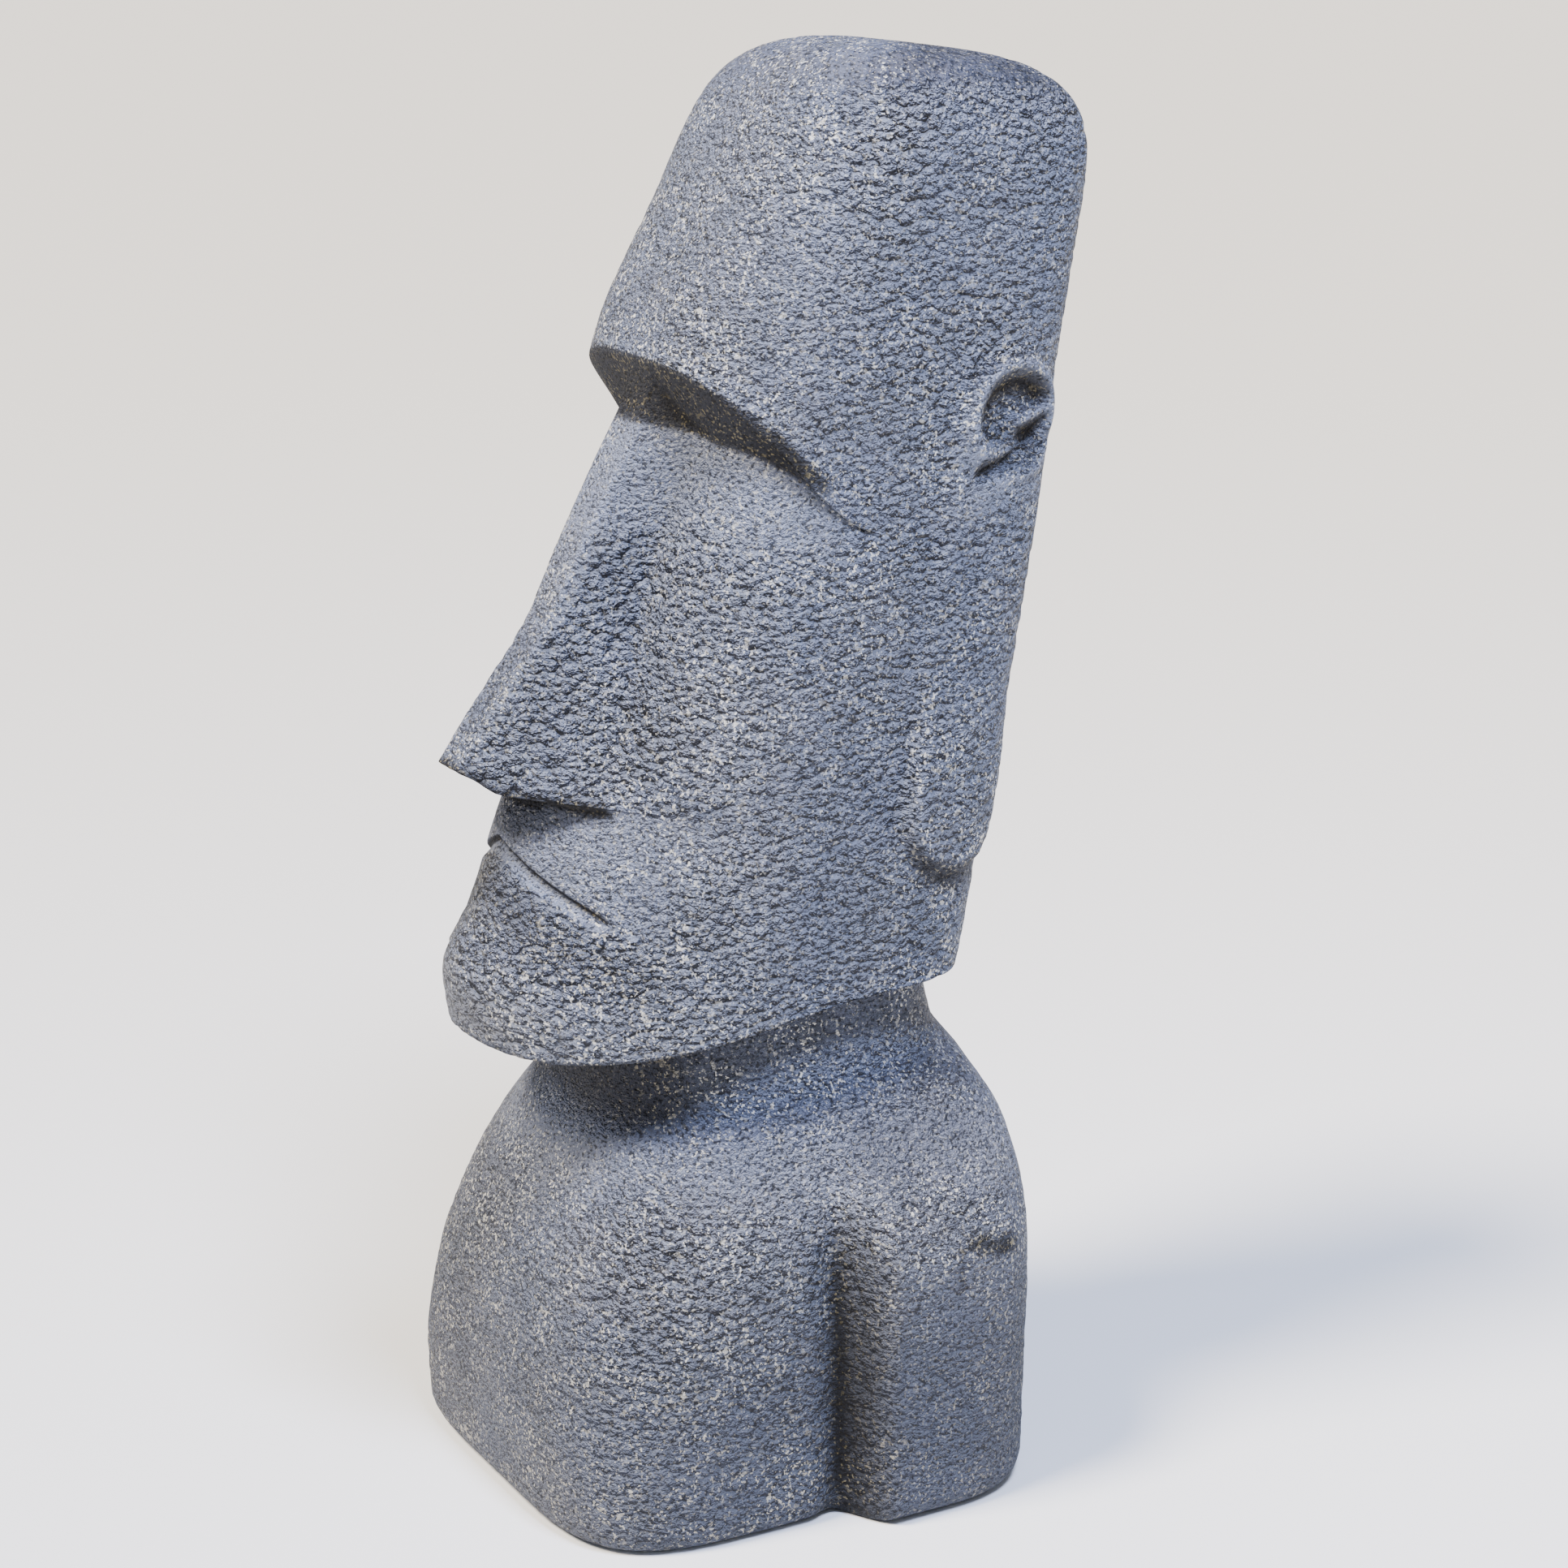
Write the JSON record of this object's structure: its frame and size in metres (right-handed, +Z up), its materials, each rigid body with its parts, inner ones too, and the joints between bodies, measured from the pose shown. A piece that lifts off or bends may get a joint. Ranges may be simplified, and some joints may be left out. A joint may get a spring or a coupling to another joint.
{
  "type": "moai stone head statue",
  "caption": "Garden statue in dark cast stone: a long moai head leaning back on a bust with arms, standing on its flat underside.",
  "frame": {"origin": "middle of the statue's overall width and depth, on the flat underside that it stands on", "axes": "+Z up, face towards -Y, the statue's own left side towards +X"},
  "size_m": [0.5, 0.5358, 1.2],
  "materials": {
    "cast_stone": "matte"
  },
  "bodies": {
    "root": {"moai_statue": "cast_stone"}
  },
  "joints": []
}
